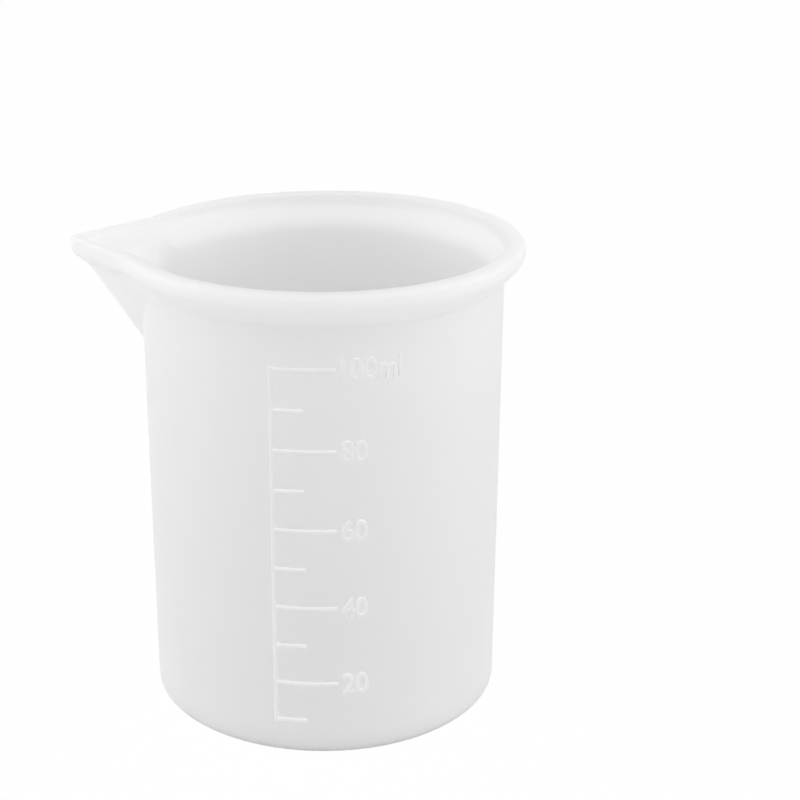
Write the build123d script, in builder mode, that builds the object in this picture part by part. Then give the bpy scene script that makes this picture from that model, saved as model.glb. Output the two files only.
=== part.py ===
from build123d import *
from math import cos, degrees, hypot, radians, sin, tan
import os

os.makedirs("parts", exist_ok=True)

# Overall sizes. The cup stands on Z = 0 and its spout points along -X.
cup_height = 68.47
neck_radius = 25.95
wall_draft = 0.5
wall = 2.25
floor_thickness = 2.2

# Flared rim and foot
rim_height = 5.0
rim_flare = 2.85
lip_wall = 2.6
flare_angle = 45.0
neck_chamfer = 0.5
mouth_chamfer = 1.2
lip_chamfer = 0.4
base_corner = 1.5
floor_corner = 2.5

# Pouring spout
spout_reach = 7.55
spout_half_angle = 48.0
spout_tip_corner = 0.8
spout_join_corner = 6.0
spout_ledge = 0.7
spout_drop = 16.6
keel_corner = 1.5
crease_corner = 1.0
spout_wall = 4.4
spout_lip = 1.1
spout_lip_drop = 1.1
shoulder_drop = 1.9
shoulder_corner = 0.5
channel_corner = 1.2
ridge_corner = 1.5

# Moulded scale on the side
scale_angle = -12.4
scale_line_width = 0.55
mark_thickness = 0.6
mark_relief = 0.4
first_mark_height = 5.41
last_mark_drop = 10.95
long_mark_length = 9.0
short_mark_length = 4.7
mark_count = 10
volume_per_mark = 10

# One overrun carries every cut clear of the rim.
overrun = 1.0

# Heights and radii that follow from the sizes above
rim_radius = neck_radius + rim_flare
base_radius = neck_radius - wall_draft
flare_foot = cup_height - rim_height
flare_top = flare_foot + rim_flare / tan(radians(flare_angle))
band_height = cup_height - flare_top
offset_shift = wall * tan(radians(flare_angle / 2))
mouth_radius = rim_radius - lip_wall
bore_top_radius = neck_radius - wall
bore_base_radius = base_radius - wall
bore_top = flare_foot + offset_shift
mouth_step = bore_top + (mouth_radius - bore_top_radius) / tan(radians(flare_angle))


def wall_radius(height):
    """Outside radius of the drafted wall at a height below the flare."""
    return base_radius + wall_draft * height / flare_foot


def bore_radius(height):
    """Inside radius of the drafted wall at a height between the floor and the mouth."""
    return bore_base_radius + wall_draft * (height - floor_thickness) / (bore_top - floor_thickness)


# The V of the spout, by the distance from the axis to its tip if that were sharp
half_angle = radians(spout_half_angle)
spout_apex = rim_radius + spout_reach + spout_tip_corner * (1 / sin(half_angle) - 1)
lip_void_apex = spout_apex - spout_lip / sin(half_angle)
keel_top_apex = spout_apex - spout_ledge / sin(half_angle)
keel_foot = cup_height - spout_drop
keel_slope = (keel_top_apex - wall_radius(keel_foot)) / (flare_top - keel_foot)
channel_inset = spout_wall * hypot(1, keel_slope * sin(half_angle)) / sin(half_angle)
shoulder_top = cup_height - spout_lip_drop
channel_top = cup_height - shoulder_drop
channel_foot = flare_top - (keel_top_apex - channel_inset - bore_top_radius + wall) / keel_slope


def keel_apex(height):
    """Distance from the axis to the keel of the spout at a height."""
    return keel_top_apex - (flare_top - height) * keel_slope


def channel_apex(height):
    """Distance from the axis to the bottom line of the pouring channel at a height."""
    return keel_apex(height) - channel_inset


def spout_plan(apex):
    """Corners of the V of the spout in plan. Its sides end where they come nearest to the axis."""
    back = apex * sin(half_angle) ** 2
    half_width = (apex - back) * tan(half_angle)
    return [(-apex, 0), (-back, -half_width), (-back, half_width)]


def scale_plane(turn):
    """Upright plane through the axis of the cup, turned from -Y towards +X."""
    side = radians(turn)
    return Plane(origin=(0, 0, 0), x_dir=(sin(side), -cos(side), 0), z_dir=(-cos(side), -sin(side), 0))


def mark_profile(low, high):
    """Section of a raised mark that sits on the drafted wall between two heights."""
    return [
        (wall_radius(low), low),
        (wall_radius(low) + mark_relief, low),
        (wall_radius(high) + mark_relief, high),
        (wall_radius(high), high),
    ]


def near(value, target):
    """True where two places agree to a small share of the wall."""
    return abs(value - target) < wall / 1000


def seams(part, radius_at, low, high):
    """Edges of a part on the spout's side that lie on a drafted wall between two heights."""
    return [
        edge
        for edge in part.edges()
        if edge.center().X < -rim_radius / 2
        and low < edge.center().Z < high
        and near(hypot(edge.center().X, edge.center().Y), radius_at(edge.center().Z))
    ]


def bottom_lines(part, low, high):
    """Slanted edges of a part in the middle plane of the spout between two heights."""
    return [
        edge
        for edge in part.edges()
        if near(edge.center().Y, 0) and edge.center().X < -bore_base_radius and low < edge.center().Z < high
    ]


# Hollow of the cup: the bore, the mouth inside the lip, and the channel of the spout
with BuildPart() as hollow:
    with BuildSketch(Plane.XZ) as turned_hollow:
        with BuildLine():
            Polyline(
                (0, floor_thickness),
                (bore_base_radius, floor_thickness),
                (bore_top_radius, bore_top),
                (mouth_radius, mouth_step),
                (mouth_radius, cup_height + overrun),
                (0, cup_height + overrun),
                close=True,
            )
        make_face()
        fillet([v for v in turned_hollow.vertices() if near(v.X, bore_base_radius)], floor_corner)
        chamfer([v for v in turned_hollow.vertices() if near(v.X, bore_top_radius)], mouth_chamfer)
    revolve(axis=Axis.Z)

    # The mouth of the lip widens into the V, with rounded joins to the round mouth.
    with BuildSketch(Plane.XY.offset(shoulder_top)) as mouth_plan:
        with BuildLine():
            Polyline(*spout_plan(lip_void_apex), close=True)
        make_face()
        Circle(mouth_radius)
        join_reach = mouth_radius * cos(half_angle)
        joins = mouth_plan.vertices().filter_by_position(Axis.X, -mouth_radius, -join_reach)
        fillet(joins, spout_join_corner)
    extrude(amount=cup_height + overrun - shoulder_top)

    # A broad, nearly level shoulder leads from the thin lip in to the narrower channel.
    for apex, height in ((lip_void_apex, shoulder_top), (channel_apex(channel_top), channel_top)):
        with BuildSketch(Plane.XY.offset(height)):
            with BuildLine():
                Polyline(*spout_plan(apex), close=True)
            make_face()
    loft(ruled=True)

    # The channel runs down into the bore, parallel to the keel outside.
    for height in (channel_top, channel_foot):
        with BuildSketch(Plane.XY.offset(height)):
            with BuildLine():
                Polyline(*spout_plan(channel_apex(height)), close=True)
            make_face()
    loft(ruled=True)
    fillet(bottom_lines(hollow, channel_foot, channel_top), channel_corner)
    shoulder_edges = [
        edge
        for edge in hollow.edges()
        if near(edge.center().Z, channel_top) and edge.center().X < -bore_top_radius
    ]
    fillet(shoulder_edges, shoulder_corner)

# The cup itself, moulded in one with its spout
with BuildPart() as cup_body:
    with BuildSketch(Plane.XZ) as turned_outside:
        with BuildLine():
            Polyline(
                (0, 0),
                (base_radius, 0),
                (neck_radius, flare_foot),
                (rim_radius, flare_top),
                (rim_radius, cup_height),
                (0, cup_height),
                close=True,
            )
        make_face()
        fillet([v for v in turned_outside.vertices() if near(v.X, base_radius)], base_corner)
        chamfer([v for v in turned_outside.vertices() if near(v.X, neck_radius)], neck_chamfer)
    revolve(axis=Axis.Z)

    # The band of the lip runs out into the V, with rounded joins to the round rim.
    with BuildSketch(Plane.XY.offset(flare_top)) as lip_plan:
        with BuildLine():
            Polyline(*spout_plan(spout_apex), close=True)
        make_face()
        fillet(lip_plan.vertices().sort_by(Axis.X)[0], spout_tip_corner)
        Circle(rim_radius)
        join_reach = rim_radius * cos(half_angle)
        joins = lip_plan.vertices().filter_by_position(Axis.X, -rim_radius, -join_reach)
        fillet(joins, spout_join_corner)
    extrude(amount=band_height)

    # Under the lip the spout leans in to the wall, and its two flat sides meet in a rounded keel.
    for height in (flare_top, keel_foot - wall):
        with BuildSketch(Plane.XY.offset(height)):
            with BuildLine():
                Polyline(*spout_plan(keel_apex(height)), close=True)
            make_face()
    loft(ruled=True)
    fillet(bottom_lines(cup_body, keel_foot, flare_foot), keel_corner)
    add(hollow.part, mode=Mode.SUBTRACT)

    # Soft edges: where the sides of the spout leave the wall, outside and inside, and round the lip
    fillet(seams(cup_body, wall_radius, keel_foot - wall, flare_foot - neck_chamfer), crease_corner)
    fillet(seams(cup_body, bore_radius, channel_foot, bore_top - mouth_chamfer), ridge_corner)
    chamfer([edge for edge in cup_body.edges() if near(edge.center().Z, cup_height)], lip_chamfer)
cup_body.part.label = "cup_body"
export_step(cup_body.part, "parts/cup_body.step")
print("cup_body", round(cup_body.part.volume), "mm3, valid:", cup_body.part.is_valid)

# Upright line of the scale
last_mark_height = cup_height - last_mark_drop
line_low = first_mark_height - mark_thickness / 2
line_high = last_mark_height + mark_thickness / 2
line_turn = degrees(scale_line_width / wall_radius(line_high))
with BuildPart() as scale_line:
    with BuildSketch(scale_plane(scale_angle - line_turn / 2)):
        with BuildLine():
            Polyline(*mark_profile(line_low, line_high), close=True)
        make_face()
    revolve(axis=Axis.Z, revolution_arc=line_turn)
scale_line.part.label = "scale_line"
export_step(scale_line.part, "parts/scale_line.step")

# Marks of the scale: long at the twenties, short between them
for place in range(mark_count):
    height = first_mark_height + (last_mark_height - first_mark_height) * place / (mark_count - 1)
    length = long_mark_length if place % 2 else short_mark_length
    name = f"mark_{(place + 1) * volume_per_mark}_ml"
    with BuildPart() as mark:
        with BuildSketch(scale_plane(scale_angle + line_turn / 2)):
            with BuildLine():
                Polyline(*mark_profile(height - mark_thickness / 2, height + mark_thickness / 2), close=True)
            make_face()
        revolve(axis=Axis.Z, revolution_arc=degrees(length / wall_radius(height)) - line_turn / 2)
    mark.part.label = name
    export_step(mark.part, f"parts/{name}.step")
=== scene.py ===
# %% [markdown]
# # A translucent silicone mixing cup
#
# The cup is one soft moulding: a drafted wall, a flared rim, a V-shaped pouring spout and a raised
# volume scale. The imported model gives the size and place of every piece. This lesson gives the
# cup its final surface, its scale and numbers, and a milky silicone finish.

# %% Load the frame
from math import cos, hypot, pi, radians, sin, tan

import bpy
from mathutils import Matrix, Vector


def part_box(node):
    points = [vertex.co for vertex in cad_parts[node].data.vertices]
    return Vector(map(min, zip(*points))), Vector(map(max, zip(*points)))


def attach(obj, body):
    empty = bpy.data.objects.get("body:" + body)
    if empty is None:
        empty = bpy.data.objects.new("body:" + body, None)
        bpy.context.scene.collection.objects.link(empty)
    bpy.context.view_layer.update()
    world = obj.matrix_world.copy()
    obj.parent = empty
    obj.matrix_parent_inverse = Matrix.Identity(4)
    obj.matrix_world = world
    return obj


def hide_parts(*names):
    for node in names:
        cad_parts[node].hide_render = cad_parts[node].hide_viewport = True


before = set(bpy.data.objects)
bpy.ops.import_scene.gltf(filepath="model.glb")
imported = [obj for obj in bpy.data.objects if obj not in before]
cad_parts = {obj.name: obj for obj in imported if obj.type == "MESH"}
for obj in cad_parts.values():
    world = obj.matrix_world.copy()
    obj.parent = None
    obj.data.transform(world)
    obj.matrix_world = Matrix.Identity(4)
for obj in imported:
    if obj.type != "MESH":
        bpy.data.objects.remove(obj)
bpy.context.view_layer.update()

# %% [markdown]
# ## Camera
#
# The photograph looks down on the cup by 18 degrees from about a quarter of a metre away, and a
# little from the right of the spout's square side view. A lens shift keeps the cup off-centre in the
# picture, as it stands there. The camera is aimed at the cup's axis and tipped down.

# %% Camera
mm = 0.001
camera_turn = radians(4.0)
camera_distance = 254.752 * mm
camera_height = 137.965 * mm
camera_pitch = radians(18.112)
camera_roll = radians(-0.419)

camera_data = bpy.data.cameras.new("camera")
camera_data.sensor_width = 36
camera_data.lens = 83.252
camera_data.shift_x = 0.09588
camera_data.shift_y = -0.0875
camera_data.clip_start = 0.01
camera = bpy.data.objects.new("camera", camera_data)
bpy.context.scene.collection.objects.link(camera)
camera.matrix_world = (
    Matrix.Rotation(camera_turn, 4, "Z")
    @ Matrix.Translation((0, -camera_distance, camera_height))
    @ Matrix.Rotation(radians(90) - camera_pitch, 4, "X")
    @ Matrix.Rotation(camera_roll, 4, "Z")
)
bpy.context.scene.camera = camera
print("camera at", [round(v / mm, 1) for v in camera.matrix_world.translation], "mm")

# %% [markdown]
# ## Nodes as sums
#
# Node trees are long to write out by hand. A small class wraps one socket and lets Python's own
# plus, minus, times and divide add the Math nodes, so a formula stays readable. Every other node
# comes from one function that takes the node's type, its settings and its sockets.


# %% Socket sums
def new_node(tree, kind, settings=None, sockets=None):
    """Add a node, set its settings first, then set or link its sockets by name or number."""
    node = tree.nodes.new(kind)
    for name, value in (settings or {}).items():
        setattr(node, name, value)
    for name, value in (sockets or {}).items():
        if isinstance(value, Sum):
            tree.links.new(value.socket, node.inputs[name])
        elif isinstance(value, bpy.types.NodeSocket):
            tree.links.new(value, node.inputs[name])
        else:
            node.inputs[name].default_value = value
    return node


class Sum:
    """A number on a socket that can be used in sums."""

    def __init__(self, tree, socket):
        self.tree = tree
        self.socket = socket

    def math(self, operation, *others):
        """Add a Math node with this number first and the others after it."""
        sockets = dict(enumerate((self, *others)))
        node = new_node(self.tree, "ShaderNodeMath", {"operation": operation}, sockets)
        return Sum(self.tree, node.outputs[0])

    def flipped(self, operation, first):
        """Add a Math node with a plain number first and this one second."""
        node = new_node(self.tree, "ShaderNodeMath", {"operation": operation}, {0: first, 1: self})
        return Sum(self.tree, node.outputs[0])

    def __add__(self, other):
        return self.math("ADD", other)

    def __radd__(self, other):
        return self.flipped("ADD", other)

    def __sub__(self, other):
        return self.math("SUBTRACT", other)

    def __rsub__(self, other):
        return self.flipped("SUBTRACT", other)

    def __mul__(self, other):
        return self.math("MULTIPLY", other)

    def __rmul__(self, other):
        return self.flipped("MULTIPLY", other)

    def __truediv__(self, other):
        return self.math("DIVIDE", other)


# %% [markdown]
# ## Geometry Nodes on call
#
# The cup's wall and its scale both follow rules, so Geometry Nodes make them. One function opens a
# tree with named inputs. Another puts the tree on an object, sets the inputs, and keeps only the
# mesh that comes out, so that nothing live is left on the finished piece.


# %% Trees and their results
def open_tree(name, inputs):
    """A geometry tree with named inputs: the tree, its input sockets and its output node."""
    tree = bpy.data.node_groups.new(name, "GeometryNodeTree")
    tree.interface.new_socket("Geometry", in_out="INPUT", socket_type="NodeSocketGeometry")
    for label, kind in inputs.items():
        tree.interface.new_socket(label, in_out="INPUT", socket_type="NodeSocket" + kind)
    tree.interface.new_socket("Geometry", in_out="OUTPUT", socket_type="NodeSocketGeometry")
    return tree, tree.nodes.new("NodeGroupInput").outputs, tree.nodes.new("NodeGroupOutput")


def close_tree(tree, out, geometry, material):
    """End a tree in plain, smooth-shaded geometry with its material."""
    smooth = new_node(tree, "GeometryNodeSetShadeSmooth", sockets={"Geometry": geometry})
    real = new_node(tree, "GeometryNodeRealizeInstances", sockets={"Geometry": smooth.outputs[0]})
    dressed = new_node(
        tree,
        "GeometryNodeSetMaterial",
        sockets={"Geometry": real.outputs[0], "Material": material},
    )
    tree.links.new(dressed.outputs[0], out.inputs[0])


def make_piece(name, mesh, tree, values):
    """Run a tree on a mesh and leave an object that holds the result as a plain mesh."""
    piece = bpy.data.objects.new(name, mesh)
    bpy.context.scene.collection.objects.link(piece)
    modifier = piece.modifiers.new(name, "NODES")
    modifier.node_group = tree
    for item in tree.interface.items_tree:
        if item.in_out == "INPUT" and item.name in values:
            modifier[item.identifier] = values[item.name]
    evaluated = piece.evaluated_get(bpy.context.evaluated_depsgraph_get())
    plain = bpy.data.meshes.new_from_object(evaluated)
    piece.modifiers.remove(modifier)
    piece.data = plain
    piece.data.name = name
    print(name, "has", sum(len(face.vertices) - 2 for face in plain.polygons), "triangles")
    return piece


# %% [markdown]
# ## Sizes of the cup
#
# The overall sizes come from the frame's box of the cup. The others are the moulding's own wall,
# corners and spout, in metres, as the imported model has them. The flare under the rim and the cone
# inside it both lean by 45 degrees, so the wall keeps its thickness there. The lip is a little thicker.

# %% Sizes of the wall
cup_low, cup_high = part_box("cup_body")
cup_height = cup_high.z
rim_radius = cup_high.x
wall = 2.25 * mm
floor_thickness = 2.2 * mm
rim_flare = 2.85 * mm
flare_angle = radians(45)
wall_draft = 0.5 * mm
lip_wall = 2.6 * mm
rim_height = 5.0 * mm
flare_foot = cup_height - rim_height
flare_top = flare_foot + rim_flare
neck_radius = rim_radius - rim_flare
base_radius = neck_radius - wall_draft
bend_shift = wall * tan(flare_angle / 2)
mouth_radius = rim_radius - lip_wall
bore_top_radius = neck_radius - wall
bore_top = flare_foot + bend_shift
mouth_step = bore_top + mouth_radius - bore_top_radius
bore_base_radius = base_radius - wall
print("cup", round(cup_height / mm, 2), "mm tall, rim radius", round(rim_radius / mm, 2), "mm")

# %% [markdown]
# ## Sizes of the spout
#
# Seen from above, the spout is a V with straight sides. Each side is described by its distance from
# the cup's axis. The lip is a short, thin, upright band. Under it a slanted ledge leads in to the keel,
# whose two flat sides lean in until they meet the wall. Inside, a broad shoulder leads from the lip to
# the channel, which runs down parallel to the keel.

# %% Sizes of the spout
spout_tip = -cup_low.x
half_angle = radians(48.0)
spout_drop = 16.6 * mm
spout_ledge = 0.7 * mm
spout_lip = 1.1 * mm
spout_lip_drop = 1.1 * mm
spout_wall = 4.4 * mm
shoulder_drop = 1.9 * mm
lip_corner = 0.8 * mm
lip_side = (spout_tip + lip_corner * (1 / sin(half_angle) - 1)) * sin(half_angle)
keel_side = lip_side - spout_ledge
keel_foot = cup_height - spout_drop
keel_foot_radius = base_radius + wall_draft * keel_foot / flare_foot
keel_foot_side = keel_foot_radius * sin(half_angle)
keel_lean = (keel_side - keel_foot_side) / (flare_top - keel_foot)
lip_inside = lip_side - spout_lip
shoulder_top = cup_height - spout_lip_drop
channel_inset = spout_wall * hypot(1, keel_lean)
channel_top = cup_height - shoulder_drop
channel_end_radius = bore_top_radius - wall / 10
channel_end_side = channel_end_radius * sin(half_angle)
channel_foot = flare_top - (keel_side - channel_inset - channel_end_side) / keel_lean


def keel_at(height):
    """Distance of the keel's sides from the axis at a height."""
    return keel_side - keel_lean * (flare_top - height)


def channel_at(height):
    """Distance of the channel's sides from the axis at a height."""
    return keel_at(height) - channel_inset


print("spout tip", round(spout_tip / mm, 2), "mm from the axis, sides", round(lip_side / mm, 2), "mm")

# %% [markdown]
# ## The wall as a turned profile
#
# A potter would draw half of the cup's section and turn it. The spout needs a second section, so
# each corner below is given twice: once for the round cup, as radius and height, and once for the
# spout, as the distance of its side and height. Both have the same corners in the same order. Each
# corner also says how far its rounding reaches, how round the spout's tip is there, and how softly
# the spout flows into the round wall. Those three are in millimetres.

# %% Corners of the section
flare_cut = 0.4 * mm
flare_slant = flare_cut * cos(flare_angle)
ledge_drop = 2.4 * mm
ledge_height = 1.8 * mm
below_flare = 1.0 * mm
ledge_top = cup_height - ledge_drop
ledge_foot = ledge_top - ledge_height
keel_bend = flare_foot - below_flare
slant_radius = rim_radius - flare_slant
slant_foot = flare_top - flare_slant
band_foot = flare_top + flare_cut
# radius, height, rounding; side, height, rounding; tip, softness; steps of the corner and after it
section = [
    (0, 0, 0, 0, 0, 0, 0, 0.5, 0, 8),
    (base_radius, 0, 1.5, 0, 0, 0, 0, 0.5, 8, 16),
    (keel_foot_radius, keel_foot, 0, keel_foot_side, keel_foot, 0, 1.5, 0.5, 0, 30),
    (neck_radius, flare_foot, 0.5, keel_at(keel_bend), keel_bend, 0, 1.5, 0.8, 6, 6),
    (slant_radius, slant_foot, 0.3, keel_at(ledge_foot), ledge_foot, 0.8, 1.5, 1.6, 6, 4),
    (rim_radius, band_foot, 0.3, lip_side, ledge_top, 0.8, 0.8, 1.6, 6, 6),
    (rim_radius, cup_height, 0.9, lip_side, cup_height, 0.6, 0.8, 1.0, 8, 5),
    (mouth_radius, cup_height, 0.4, lip_inside, cup_height, 0.4, 0.6, 1.0, 8, 5),
    (mouth_radius, mouth_step, 0.5, lip_inside, shoulder_top, 0.4, 0.6, 1.0, 6, 20),
    (bore_top_radius, bore_top, 1.3, channel_at(channel_top), channel_top, 0.5, 1.2, 1.0, 10, 24),
    (channel_end_radius, channel_foot, 0, channel_at(channel_foot), channel_foot, 0, 1.2, 1.0, 0, 14),
    (bore_base_radius, floor_thickness, 2.5, 0, floor_thickness, 0, 0, 0.5, 8, 8),
    (0, floor_thickness, 0, 0, floor_thickness, 0, 0, 0.5, 0, 0),
]
print("section with", len(section), "corners")

# %% [markdown]
# Each corner is rounded by a short curve that starts and ends on the two straight runs beside it.
# The same steps are taken in both sections, so ring number seven of the round cup always belongs to
# ring number seven of the spout. The rings are kept as loose points of a mesh, with their sizes as
# named attributes, which is what a geometry tree can read.


# %% Rings of the section
def walked(corners, steps):
    """Points along a line of (place, rounding) corners, with steps round each corner and after it."""
    points = []
    for number, (place, rounding) in enumerate(corners):
        before = corners[max(number - 1, 0)][0] - place
        after = corners[min(number + 1, len(corners) - 1)][0] - place
        start = place + before.normalized() * rounding
        end = place + after.normalized() * rounding
        on_corner, on_run = steps[number]
        for step in range(on_corner + 1):
            share = step / on_corner if on_corner else 0
            points.append(start.lerp(place, share).lerp(place.lerp(end, share), share))
        if number + 1 < len(corners):
            following, next_rounding = corners[number + 1]
            run_end = following - after.normalized() * next_rounding
            points += [end.lerp(run_end, step / on_run) for step in range(1, on_run)]
    return points


steps = [row[8:10] for row in section]
round_rings = walked([(Vector((row[0], row[1], 0)), row[2] * mm) for row in section], steps)
spout_rings = walked([(Vector((row[3], row[4], 0)), row[5] * mm) for row in section], steps)
soft_rings = walked([(Vector((row[6] * mm, row[7] * mm, 0)), 0) for row in section], steps)

ring_sizes = {
    "radius": [ring.x for ring in round_rings],
    "height": [ring.y for ring in round_rings],
    "side": [ring.x for ring in spout_rings],
    "spout height": [ring.y for ring in spout_rings],
    "tip": [ring.x for ring in soft_rings],
    "softness": [ring.y for ring in soft_rings],
}
profile = bpy.data.meshes.new("profile")
profile.from_pydata([(ring.x, 0, ring.y) for ring in round_rings], [], [])
for label, values in ring_sizes.items():
    profile.attributes.new(label, "FLOAT", "POINT").data.foreach_set("value", values)
print("profile of", len(round_rings), "rings")

# %% [markdown]
# ## Turning the profile
#
# The tree lays out a grid with one row for each ring and one column for each angle round the cup,
# crowded towards the spout where the shape is finer. For each point it works out how far out the
# round wall lies and how far out the V of the spout lies, and takes the larger. A plain maximum
# would leave a hard crease, so near the meeting line the two are eased into each other.


# %% Cup tree
def cup_tree():
    """Tree that turns the profile's two sections into the wall of the cup."""
    inputs = {"Columns": "Int", "Rings": "Int", "Half Angle": "Float", "Crowding": "Float"}
    tree, given, out = open_tree("cup wall", {**inputs, "Material": "Material"})
    grid = new_node(
        tree,
        "GeometryNodeMeshGrid",
        sockets={"Size X": 1.0, "Size Y": 1.0, "Vertices X": given["Columns"], "Vertices Y": given["Rings"]},
    )
    place = new_node(tree, "GeometryNodeInputPosition").outputs[0]
    spot = new_node(tree, "ShaderNodeSeparateXYZ", sockets={0: place}).outputs
    ring = ((Sum(tree, spot["Y"]) + 0.5) * (Sum(tree, given["Rings"]) - 1)).math("ROUND")

    def ring_value(label):
        """A size of the profile, read at the ring of each point."""
        named = new_node(tree, "GeometryNodeInputNamedAttribute", {"data_type": "FLOAT"}, {"Name": label})
        sample = new_node(
            tree,
            "GeometryNodeSampleIndex",
            {"data_type": "FLOAT", "domain": "POINT"},
            {"Geometry": given["Geometry"], "Value": named.outputs[0], "Index": ring},
        )
        return Sum(tree, sample.outputs[0])

    half = Sum(tree, given["Half Angle"])
    square = pi / 2 - half
    turn = Sum(tree, spot["X"]) * (2 * pi)
    angle = turn - turn.math("SINE") * Sum(tree, given["Crowding"])
    off_axis = angle.math("ABSOLUTE")

    side = ring_value("side")
    lean = (off_axis - square).math("COSINE")
    facing = off_axis.math("LESS_THAN", square)
    flat_side = side / lean * facing + side * lean * (1 - facing)

    tip = ring_value("tip")
    tip_centre = (side - tip) / half.math("SINE")
    tip_end = (tip * half.math("COSINE")).math("ARCTAN2", tip_centre + tip * half.math("SINE"))
    off_centre = tip_centre * off_axis.math("SINE")
    chord = (tip * tip - off_centre * off_centre).math("MAXIMUM", 0).math("SQRT")
    on_tip = off_axis.math("LESS_THAN", tip_end)
    spout = (tip_centre * off_axis.math("COSINE") + chord) * on_tip + flat_side * (1 - on_tip)

    radius = ring_value("radius")
    softness = ring_value("softness")
    share = ((spout - radius) / softness * 0.5 + 0.5).math("MAXIMUM", 0).math("MINIMUM", 1)
    reach = radius + (spout - radius) * share + softness * share * (1 - share)
    height = ring_value("height")
    level = height + (ring_value("spout height") - height) * share

    away = new_node(
        tree,
        "ShaderNodeCombineXYZ",
        sockets={"X": reach * angle.math("COSINE") * -1, "Y": reach * angle.math("SINE"), "Z": level},
    )
    turned = new_node(
        tree,
        "GeometryNodeSetPosition",
        sockets={"Geometry": grid.outputs["Mesh"], "Position": away.outputs[0]},
    )
    closed = new_node(
        tree,
        "GeometryNodeMergeByDistance",
        sockets={"Geometry": turned.outputs[0], "Distance": mm / 1000},
    )
    close_tree(tree, out, closed.outputs[0], given["Material"])
    return tree


# %% [markdown]
# ## Milky silicone
#
# Mould-making silicone is not clear: light enters it, scatters and comes out again a few millimetres
# away, so thin edges glow and shadows inside the cup stay soft. Subsurface scattering does this. Its
# skin is satin, a little uneven from the mould, and slightly cloudy inside. Object coordinates carry
# the pattern, so it stays on the cup from every side. The raised bars are thin, so their light
# scatters over a far shorter way. They are the same silicone as the wall, but their tint is slightly
# paler: painted light, standing in for the light that the bars catch.

# %% Silicone
cloud_waves = 70.0
dimple_waves = 260.0
grain_waves = 1400.0
least_roughness = 0.5
grain_roughness = 0.12
grain_bump = 0.2
bump_strength = 0.25
bump_depth = 0.05 * mm


def silicone(name, base_tint, cloud_tint, depth):
    """Milky silicone with two tints in soft clouds, whose light scatters over a depth."""
    material = bpy.data.materials.new(name)
    material.use_nodes = True
    tree = material.node_tree
    skin = tree.nodes["Principled BSDF"]
    spot = new_node(tree, "ShaderNodeTexCoord").outputs["Object"]

    def noise(waves, detail):
        """Noise over the piece's own coordinates, with so many waves in a metre."""
        sockets = {"Vector": spot, "Scale": waves, "Detail": detail}
        return Sum(tree, new_node(tree, "ShaderNodeTexNoise", sockets=sockets).outputs[0])

    cloud = noise(cloud_waves, 3.0)
    tint = new_node(
        tree,
        "ShaderNodeMix",
        {"data_type": "RGBA"},
        {"Factor": cloud, "A": (*base_tint, 1), "B": (*cloud_tint, 1)},
    )
    tree.links.new(tint.outputs[2], skin.inputs["Base Color"])
    grain = noise(grain_waves, 2.0)
    tree.links.new((grain * grain_roughness + least_roughness).socket, skin.inputs["Roughness"])
    relief_height = noise(dimple_waves, 2.0) + grain * grain_bump
    bump = new_node(
        tree,
        "ShaderNodeBump",
        sockets={"Strength": bump_strength, "Distance": bump_depth, "Height": relief_height},
    )
    tree.links.new(bump.outputs[0], skin.inputs["Normal"])
    skin.inputs["IOR"].default_value = 1.41
    skin.inputs["Subsurface Weight"].default_value = 1.0
    skin.inputs["Subsurface Radius"].default_value = (1.0, 1.0, 1.0)
    skin.inputs["Subsurface Scale"].default_value = depth
    return material


cup_silicone = silicone("milky_silicone", (0.93, 0.931, 0.931), (0.96, 0.961, 0.961), 6.0 * mm)
# The scale's paler tint is painted light: the bars are the same silicone as the wall.
scale_silicone_painted_paler = silicone("raised_silicone_painted_paler", (0.955, 0.956, 0.956), (0.975, 0.976, 0.976), 0.1 * mm)

# %% [markdown]
# The cup is then one piece with closed, outward faces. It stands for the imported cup, which stays in
# the physics model, and rides on the one body of the part.

# %% Cup
wall_columns = 353
spout_crowding = 0.85
cup = make_piece(
    "cup",
    profile,
    cup_tree(),
    {
        "Columns": wall_columns,
        "Rings": len(round_rings),
        "Half Angle": half_angle,
        "Crowding": spout_crowding,
        "Material": cup_silicone,
    },
)
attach(cup, "root")
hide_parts("cup_body")

# %% [markdown]
# ## Raised scale
#
# The mould has a scale cut into it, so the cup carries raised bars: an upright line, and ten marks
# that are long at every second place. They repeat, so Geometry Nodes place them. The bars are laid
# out flat first, with x along the wall, y up it and z out of it, and then bent round the drafted
# wall. Each bar is sunk a little into the wall, so that it grows out of it without a gap. The marks
# start close to the far edge of the upright line, because a deep overlap of two bars turns into a
# dark spot. The bars cast no shadow on the wall and stay out of the soft light that it gathers, since
# either would draw a dark halo round them.

# %% Sizes of the scale
line_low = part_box("scale_line")[0].z
line_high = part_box("scale_line")[1].z
mark_low, mark_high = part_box("mark_10_ml")
mark_thickness = mark_high.z - mark_low.z
first_mark = (mark_low.z + mark_high.z) / 2
mark_count = 10
mark_spacing = (line_high - line_low - mark_thickness) / (mark_count - 1)
scale_turn = radians(-12.4)
line_width = 0.55 * mm
long_mark = 9.0 * mm
short_mark = 4.7 * mm
relief = 0.4 * mm
sunk = 0.3 * mm
bar_corner = 0.16 * mm
bar_steps = 25
mark_start_share = 0.95
print("marks", round(mark_spacing / mm, 3), "mm apart, the first", round(first_mark / mm, 2), "mm up")


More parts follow.
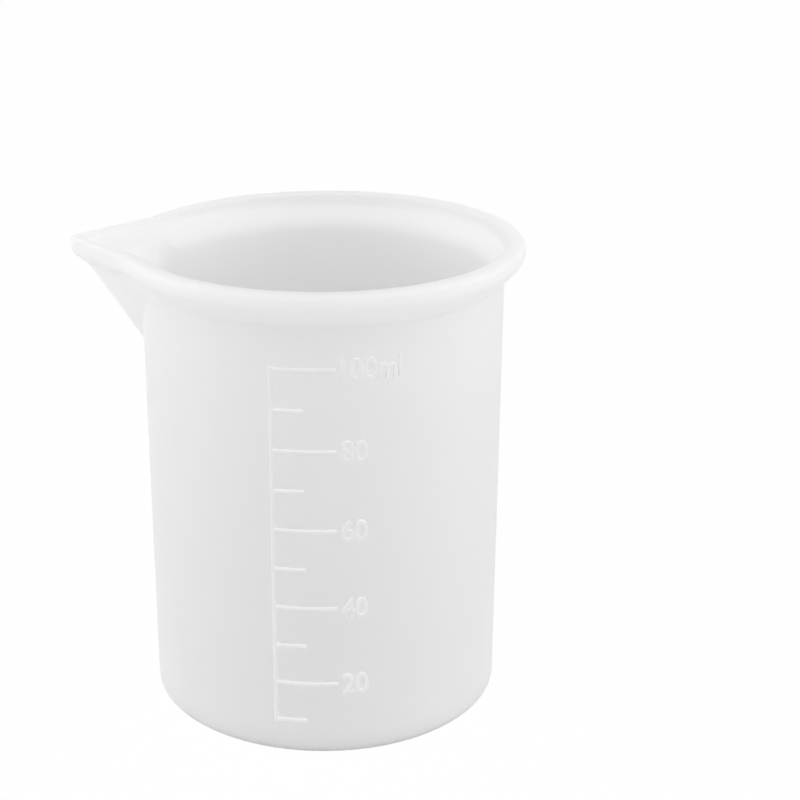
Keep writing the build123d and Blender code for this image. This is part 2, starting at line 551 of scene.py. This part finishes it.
# %% Flat marks bent round the wall
def bent(tree, given, geometry):
    """Bend flat geometry round the drafted wall."""
    place = new_node(tree, "GeometryNodeInputPosition").outputs[0]
    flat = new_node(tree, "ShaderNodeSeparateXYZ", sockets={0: place}).outputs
    along, up, out = (Sum(tree, flat[axis]) for axis in ("X", "Y", "Z"))
    surface = up * Sum(tree, given["Draft"]) + Sum(tree, given["Base Radius"])
    angle = along / surface + Sum(tree, given["Turn"])
    radius = surface + out
    away = new_node(
        tree,
        "ShaderNodeCombineXYZ",
        sockets={"X": radius * angle.math("SINE"), "Y": radius * angle.math("COSINE") * -1, "Z": up},
    )
    moved = new_node(
        tree,
        "GeometryNodeSetPosition",
        sockets={"Geometry": geometry, "Position": away.outputs[0]},
    )
    return moved.outputs[0]


wall_inputs = {"Base Radius": "Float", "Draft": "Float", "Turn": "Float", "Material": "Material"}
wall_values = {
    "Base Radius": base_radius,
    "Draft": wall_draft / flare_foot,
    "Turn": scale_turn,
    "Material": scale_silicone_painted_paler,
}


def scale_tree():
    """Tree that lays out the upright line and its marks and bends them round the wall."""
    places = ("First", "Spacing", "Line Low", "Line High", "Lift")
    sizes = ("Short", "Long", "Thickness", "Line Width", "Depth")
    inputs = dict.fromkeys((*places, *sizes), "Float")
    tree, given, out = open_tree("raised scale", {"Count": "Int", "Corner": "Float", **inputs, **wall_inputs})

    def bar(width, line):
        """A bar with rounded edges along a line."""
        outline = new_node(
            tree,
            "GeometryNodeCurvePrimitiveQuadrilateral",
            sockets={"Width": width, "Height": given["Depth"]},
        )
        rounded = new_node(
            tree,
            "GeometryNodeFilletCurve",
            sockets={"Curve": outline.outputs[0], "Radius": given["Corner"]},
        )
        return new_node(
            tree,
            "GeometryNodeCurveToMesh",
            sockets={"Curve": line, "Profile Curve": rounded.outputs[0], "Fill Caps": True},
        ).outputs[0]

    unit_line = new_node(tree, "GeometryNodeCurvePrimitiveLine", sockets={"End": (1, 0, 0)})
    fine_line = new_node(
        tree,
        "GeometryNodeResampleCurve",
        sockets={"Curve": unit_line.outputs[0], "Count": bar_steps},
    )
    unit_bar = bar(given["Thickness"], fine_line.outputs[0])

    line_edge = Sum(tree, given["Line Width"]) * mark_start_share
    start = new_node(tree, "ShaderNodeCombineXYZ", sockets={"X": line_edge, "Y": given["First"]})
    offset = new_node(tree, "ShaderNodeCombineXYZ", sockets={"Y": given["Spacing"]})
    rows = new_node(
        tree,
        "GeometryNodeMeshLine",
        sockets={
            "Count": given["Count"],
            "Start Location": start.outputs[0],
            "Offset": offset.outputs[0],
        },
    )
    odd = Sum(tree, new_node(tree, "GeometryNodeInputIndex").outputs[0]).math("MODULO", 2)
    length = Sum(tree, given["Short"]) * (1 - odd) + Sum(tree, given["Long"]) * odd - line_edge
    size = new_node(tree, "ShaderNodeCombineXYZ", sockets={"X": length, "Y": 1.0, "Z": 1.0})
    marks = new_node(
        tree,
        "GeometryNodeInstanceOnPoints",
        sockets={"Points": rows.outputs[0], "Instance": unit_bar, "Scale": size.outputs[0]},
    )

    half_width = Sum(tree, given["Line Width"]) / 2
    foot = new_node(tree, "ShaderNodeCombineXYZ", sockets={"X": half_width, "Y": given["Line Low"]})
    head = new_node(tree, "ShaderNodeCombineXYZ", sockets={"X": half_width, "Y": given["Line High"]})
    upright = new_node(
        tree,
        "GeometryNodeCurvePrimitiveLine",
        sockets={"Start": foot.outputs[0], "End": head.outputs[0]},
    )
    spine = bar(given["Line Width"], upright.outputs[0])

    joined = tree.nodes.new("GeometryNodeJoinGeometry")
    tree.links.new(marks.outputs[0], joined.inputs[0])
    tree.links.new(spine, joined.inputs[0])
    plain = new_node(tree, "GeometryNodeRealizeInstances", sockets={"Geometry": joined.outputs[0]})
    lift = new_node(tree, "ShaderNodeCombineXYZ", sockets={"Z": given["Lift"]})
    lifted = new_node(
        tree,
        "GeometryNodeTransform",
        sockets={"Geometry": plain.outputs[0], "Translation": lift.outputs[0]},
    )
    close_tree(tree, out, bent(tree, given, lifted.outputs[0]), given["Material"])
    return tree


scale = make_piece(
    "raised_scale",
    bpy.data.meshes.new("raised_scale"),
    scale_tree(),
    {
        "Count": mark_count,
        "First": first_mark,
        "Spacing": mark_spacing,
        "Short": short_mark,
        "Long": long_mark,
        "Thickness": mark_thickness,
        "Line Low": line_low,
        "Line High": line_high,
        "Line Width": line_width,
        "Depth": relief + sunk,
        "Lift": (relief - sunk) / 2,
        "Corner": bar_corner,
        **wall_values,
    },
)
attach(scale, "root")
scale.visible_shadow = False
scale.visible_diffuse = False
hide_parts("scale_line", *(f"mark_{10 * (place + 1)}_ml" for place in range(mark_count)))

# %% [markdown]
# ## Raised numbers
#
# The long marks carry their volume in plain numbers. Text objects give the outlines. They are made
# meshes while they are still flat, with a soft edge, and only then bent round the wall with the same
# rule as the marks.


# %% Numbers
number_gap = 0.6 * mm
number_height = 3.0 * mm
number_bevel = 0.07 * mm
two_digits = 3.6 * mm
three_digits_and_unit = 8.4 * mm


def flat_number(text, left, low, width, height):
    """Raised text as a flat mesh that fills a box, with its left and lower edges at given places."""
    curve = bpy.data.curves.new("number_" + text, "FONT")
    curve.body = text
    curve.resolution_u = 5
    holder = bpy.data.objects.new(curve.name, curve)
    bpy.context.scene.collection.objects.link(holder)
    bpy.context.view_layer.update()
    curve.size = height / (holder.dimensions.y / curve.size)
    curve.bevel_depth = number_bevel
    curve.bevel_resolution = 1
    curve.extrude = (relief + sunk) / 2 - curve.bevel_depth
    evaluated = holder.evaluated_get(bpy.context.evaluated_depsgraph_get())
    flat = bpy.data.meshes.new_from_object(evaluated)
    bpy.data.objects.remove(holder)
    xs = [vertex.co.x for vertex in flat.vertices]
    ys = [vertex.co.y for vertex in flat.vertices]
    squeeze = width / (max(xs) - min(xs))
    for vertex in flat.vertices:
        x, y, z = vertex.co
        vertex.co = (left + (x - min(xs)) * squeeze, low + y - min(ys), z + (relief - sunk) / 2)
    return flat


def number_tree():
    """Tree that bends a flat number round the wall."""
    tree, given, out = open_tree("bent number", wall_inputs)
    close_tree(tree, out, bent(tree, given, given["Geometry"]), given["Material"])
    return tree


bent_number = number_tree()
numbers = {"20": two_digits, "40": two_digits, "60": two_digits, "80": two_digits}
numbers["100ml"] = three_digits_and_unit
for row, (text, width) in enumerate(numbers.items()):
    middle = first_mark + (2 * row + 1) * mark_spacing
    flat = flat_number(text, long_mark + number_gap, middle - number_height / 2, width, number_height)
    number = make_piece("number_" + text, flat, bent_number, wall_values)
    number.visible_shadow = False
    number.visible_diffuse = False
    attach(number, "root")

# %% [markdown]
# ## Floor and light
#
# The cup stands on a plain white floor in soft light from all round, with a wide soft lamp on either
# side, a little behind it. That makes the middle of the wall the darkest and lets both edges glow. A
# third lamp, in front and high up, lights what leans back, such as the cone inside the rim.
#
# The white background is what the camera sees of the floor and the world, straight, in the gloss or
# through the cup. It adds no soft light of its own. A small share of the floor stays paint, which
# takes the cup's faint shadow.

# %% Floor, lights and world
floor_mesh = bpy.data.meshes.new("floor")
floor_reach = 1.5
floor_paint = 0.95
floor_glow_share = 0.97
corners = ((-1, -1), (1, -1), (1, 1), (-1, 1))
floor_mesh.from_pydata([(x * floor_reach, y * floor_reach, 0) for x, y in corners], [], [(0, 1, 2, 3)])
floor = bpy.data.objects.new("floor", floor_mesh)
bpy.context.scene.collection.objects.link(floor)


def seen(tree):
    """One where the background is looked at, straight or by gloss or through the cup."""
    path = new_node(tree, "ShaderNodeLightPath").outputs
    straight = Sum(tree, path["Is Camera Ray"])
    return straight.math("MAXIMUM", path["Is Glossy Ray"]).math("MAXIMUM", path["Is Transmission Ray"])


floor_material = bpy.data.materials.new("white_floor")
floor_material.use_nodes = True
tree = floor_material.node_tree
paint = new_node(tree, "ShaderNodeBsdfDiffuse", sockets={"Color": (floor_paint, floor_paint, floor_paint, 1)})
glow = new_node(tree, "ShaderNodeEmission", sockets={"Color": (1, 1, 1, 1), "Strength": 1.0})
mixed = new_node(
    tree,
    "ShaderNodeMixShader",
    sockets={"Fac": seen(tree) * floor_glow_share, 1: paint.outputs[0], 2: glow.outputs[0]},
)
tree.links.new(mixed.outputs[0], tree.nodes["Material Output"].inputs[0])
floor_mesh.materials.append(floor_material)

world = bpy.data.worlds.new("studio")
bpy.context.scene.world = world
world.use_nodes = True
tree = world.node_tree
room_light = 0.58
strength = seen(tree) * (1 - room_light) + room_light
tree.nodes["Background"].inputs["Color"].default_value = (1, 1, 1, 1)
tree.links.new(strength.socket, tree.nodes["Background"].inputs["Strength"])


def soft_lamp(name, place, aim, size, power):
    """A square lamp at a place, turned to face a point."""
    lamp = bpy.data.lights.new(name, "AREA")
    lamp.shape = "SQUARE"
    lamp.size = size
    lamp.energy = power
    holder = bpy.data.objects.new(name, lamp)
    facing = (aim - place).to_track_quat("-Z", "Y").to_matrix().to_4x4()
    holder.matrix_world = Matrix.Translation(place) @ facing
    bpy.context.scene.collection.objects.link(holder)
    holder.visible_camera = False


lamp_distance = 0.6
side_back = radians(8)
side_rise = radians(8)
front_rise = radians(60)
side_size = 0.4
front_size = 0.5
side_power = 1.12
front_power = 1.06
cup_middle = Vector((0, 0, cup_height / 2))
for side in (-1, 1):
    reach = lamp_distance * cos(side_rise)
    place = Vector((side * reach * cos(side_back), reach * sin(side_back), lamp_distance * sin(side_rise)))
    soft_lamp("side_lamp", cup_middle + place, cup_middle, side_size, side_power)
place = Vector((0, -lamp_distance * cos(front_rise), lamp_distance * sin(front_rise)))
soft_lamp("front_lamp", cup_middle + place, cup_middle, front_size, front_power)
bpy.context.scene.view_settings.view_transform = "Standard"
print("room light", room_light)
